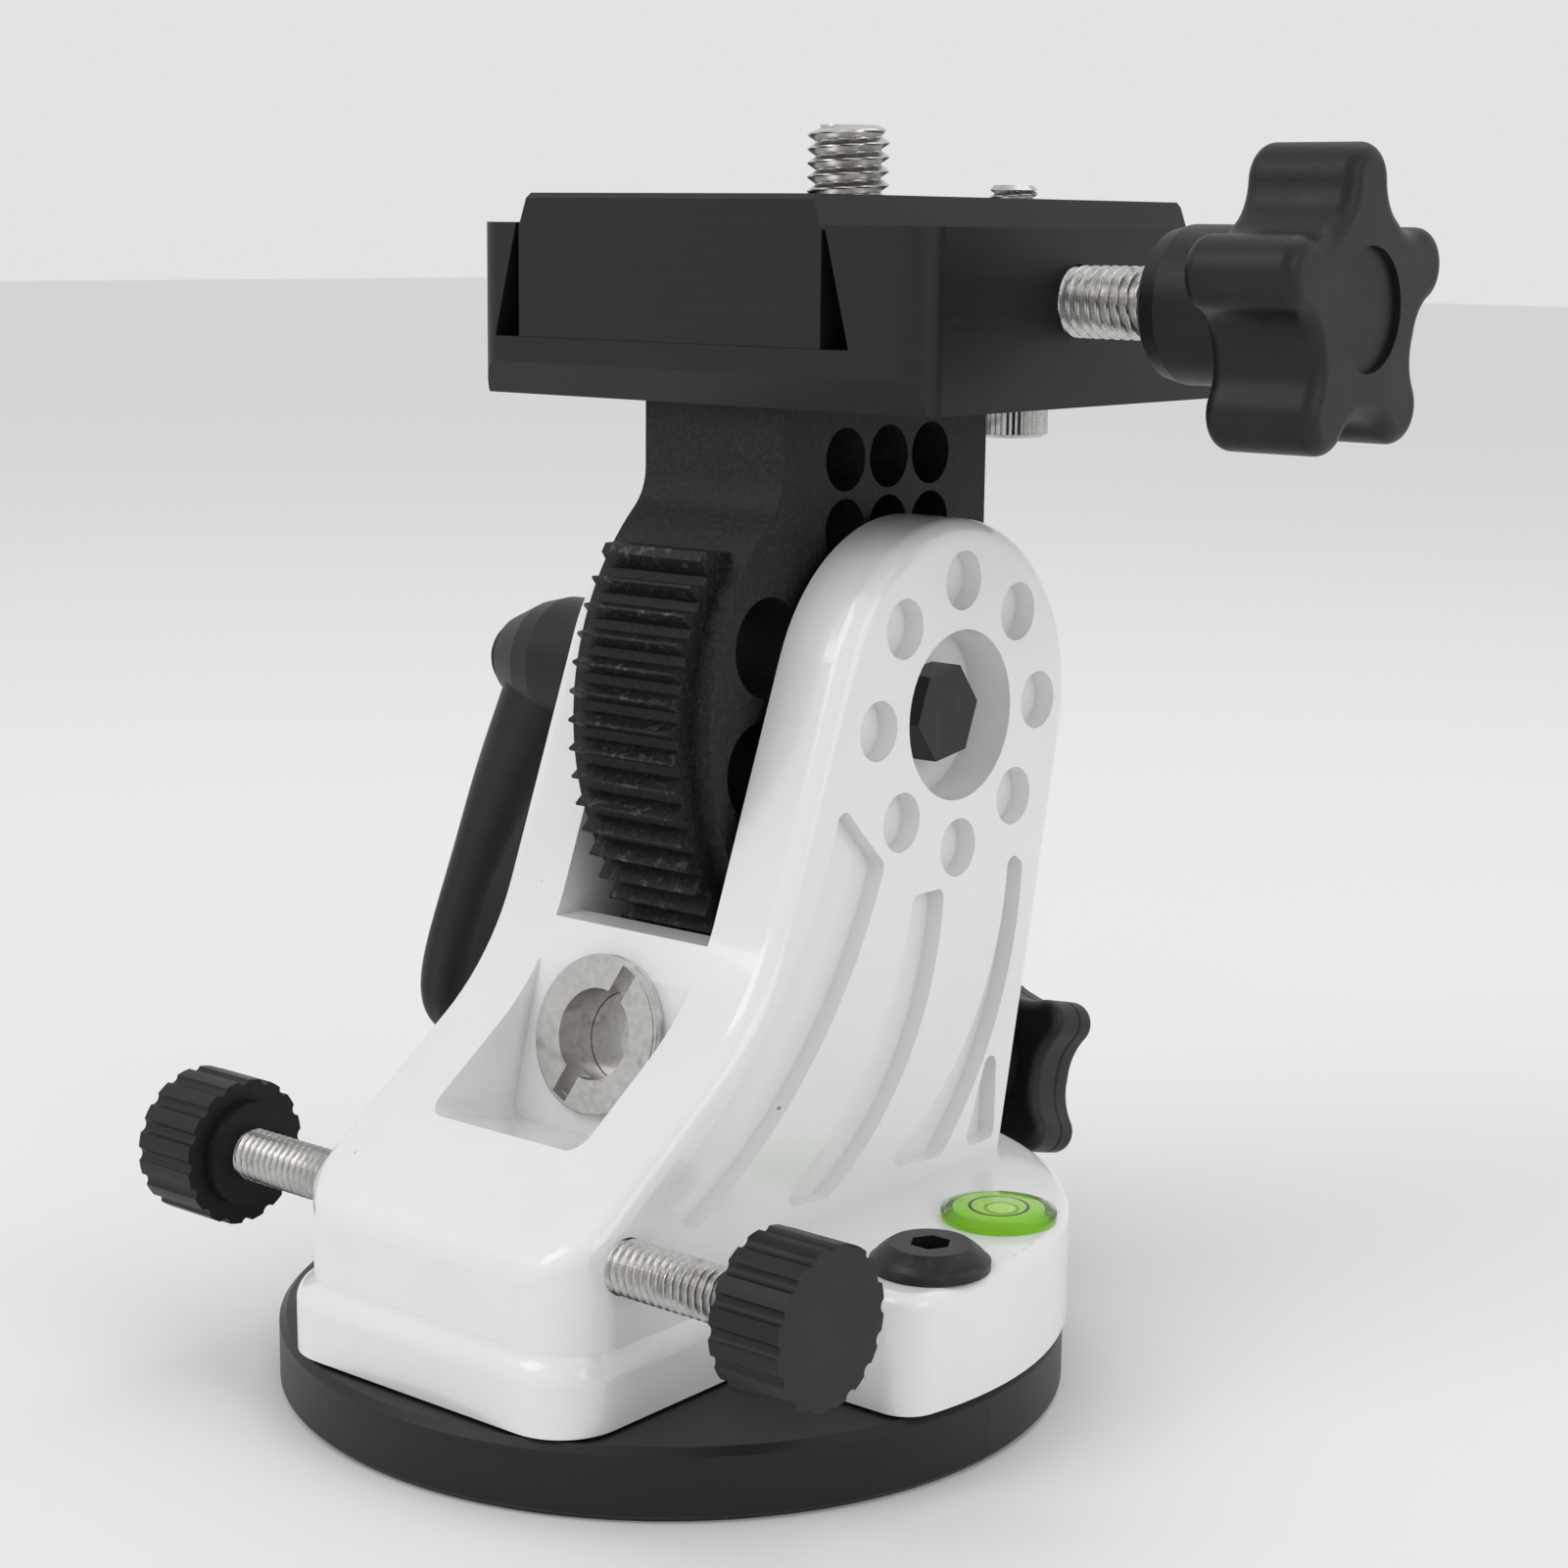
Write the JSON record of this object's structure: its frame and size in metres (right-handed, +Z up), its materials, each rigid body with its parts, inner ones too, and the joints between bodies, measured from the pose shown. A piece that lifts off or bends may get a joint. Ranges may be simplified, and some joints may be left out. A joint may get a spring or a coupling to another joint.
{
  "type": "alt azimuth mount",
  "caption": "Alt azimuth mount: a fork on a base disc swings on opposed thumb screws and tilts a dovetail saddle through a worm and sector, with lock lever, clamp knob and bubble level.",
  "frame": {"origin": "centre of the base disc's underside, on the azimuth axis", "axes": "+Z up along the azimuth axis; X along the altitude axis, +X the bolt-head side and -X the lever side; -Y the front, where the worm's slotted bush shows"},
  "size_m": [0.1251, 0.1197, 0.1412],
  "materials": {
    "white_paint": "gloss paint on a casting",
    "anodised_black": "black anodised, satin",
    "cast_black": "black, fine cast grain",
    "black_screw": "black oxide",
    "steel": "turned stainless",
    "bush_steel": "scuffed",
    "bush_black": "black",
    "washer_steel": "plain",
    "black_plastic": "fine texture",
    "pad_plastic": "plain",
    "level_clear": "clear",
    "level_green": "clear green liquid"
  },
  "bodies": {
    "base": {"base_disc": "anodised_black", "tripod_insert": "steel", "azimuth_post": "steel"},
    "lock_right": {"lock_screw_right": "black_screw"},
    "lock_left": {"lock_screw_left": "black_screw"},
    "fork": {"fork": "white_paint", "worm_front_bush": "bush_steel", "worm_rear_bush": "bush_black", "level_case": "level_clear", "level_fluid": "level_green", "altitude_bolt": "black_screw", "thrust_washers": "washer_steel", "lever_washer": "washer_steel"},
    "worm": {"worm": "steel", "altitude_knob": "black_plastic"},
    "altitude": {"altitude_arm": "cast_black", "pivot_sleeve": "steel", "saddle": "anodised_black", "saddle_screws": "black_screw"},
    "dovetail": {"dovetail_plate": "anodised_black", "mounting_stud": "steel", "rear_screw": "steel"},
    "clamp": {"clamp_screw": "steel", "clamp_pad": "pad_plastic"},
    "star": {"star_knob": "black_plastic", "star_cap": "black_plastic"},
    "lever": {"lever_handle": "black_plastic", "lever_insert": "steel", "lever_cap": "black_plastic"},
    "stud_right": {"thumb_stud_right": "steel"},
    "stud_left": {"thumb_stud_left": "steel"},
    "thumb_right": {"thumb_knob_right": "black_plastic"},
    "thumb_left": {"thumb_knob_left": "black_plastic"}
  },
  "joints": [
    {"name": "azimuth_swing", "type": "hinge", "parent": "base", "child": "fork", "pos_m": [0, 0, 0], "axis": [0, 0, 1], "range_deg": [-4, 4]},
    {"name": "lock_screw_right_turn", "type": "hinge", "parent": "base", "child": "lock_right", "pos_m": [0.03887, -0.00313, 0.0213], "axis": [0, 0, 1], "range_deg": [0, 90]},
    {"name": "lock_screw_left_turn", "type": "hinge", "parent": "base", "child": "lock_left", "pos_m": [-0.03893, 0.00231, 0.0213], "axis": [0, 0, 1], "range_deg": [0, 90]},
    {"name": "thumb_stud_right_feed", "type": "slide", "parent": "fork", "child": "stud_right", "axis": [1, 0, 0], "range_m": [-0.0023, 0.0023]},
    {"name": "thumb_stud_left_feed", "type": "slide", "parent": "fork", "child": "stud_left", "axis": [1, 0, 0], "range_m": [-0.0023, 0.0023]},
    {"name": "thumb_knob_right_turn", "type": "hinge", "parent": "stud_right", "child": "thumb_right", "pos_m": [0.0433, -0.0315, 0.0248], "axis": [1, 0, 0], "range_deg": [-800, 800]},
    {"name": "thumb_knob_left_turn", "type": "hinge", "parent": "stud_left", "child": "thumb_left", "pos_m": [-0.0416, -0.0315, 0.0248], "axis": [1, 0, 0], "range_deg": [-800, 800]},
    {"name": "altitude_tilt", "type": "hinge", "parent": "fork", "child": "altitude", "pos_m": [0, 0.0253, 0.0752], "axis": [1, 0, 0], "range_deg": [0, 90]},
    {"name": "worm_spin", "type": "hinge", "parent": "fork", "child": "worm", "pos_m": [0, 0.01478, 0.03454], "axis": [0, 0.9681, -0.2504], "range_deg": [-6200, 100]},
    {"name": "lever_swing", "type": "hinge", "parent": "fork", "child": "lever", "pos_m": [0, 0.0253, 0.0752], "axis": [1, 0, 0], "range_deg": [-45, 90]},
    {"name": "plate_slide", "type": "slide", "parent": "altitude", "child": "dovetail", "axis": [0, 1, 0], "range_m": [-0.008, 0.008]},
    {"name": "clamp_travel", "type": "slide", "parent": "altitude", "child": "clamp", "axis": [1, 0, 0], "range_m": [0, 0.0025]},
    {"name": "star_knob_turn", "type": "hinge", "parent": "clamp", "child": "star", "pos_m": [0.0615, 0.0299, 0.1219], "axis": [1, 0, 0], "range_deg": [-1, 722]}
  ],
  "couplings": [
    {"joint": "thumb_stud_right_feed", "follows": "azimuth_swing", "m_per_rad": -0.0315},
    {"joint": "thumb_stud_left_feed", "follows": "azimuth_swing", "m_per_rad": -0.0315},
    {"joint": "thumb_knob_right_turn", "follows": "azimuth_swing", "ratio": -197.92},
    {"joint": "thumb_knob_left_turn", "follows": "azimuth_swing", "ratio": -197.92},
    {"joint": "worm_spin", "follows": "altitude_tilt", "ratio": -68},
    {"joint": "star_knob_turn", "follows": "clamp_travel", "rad_per_m": 5026.5}
  ]
}
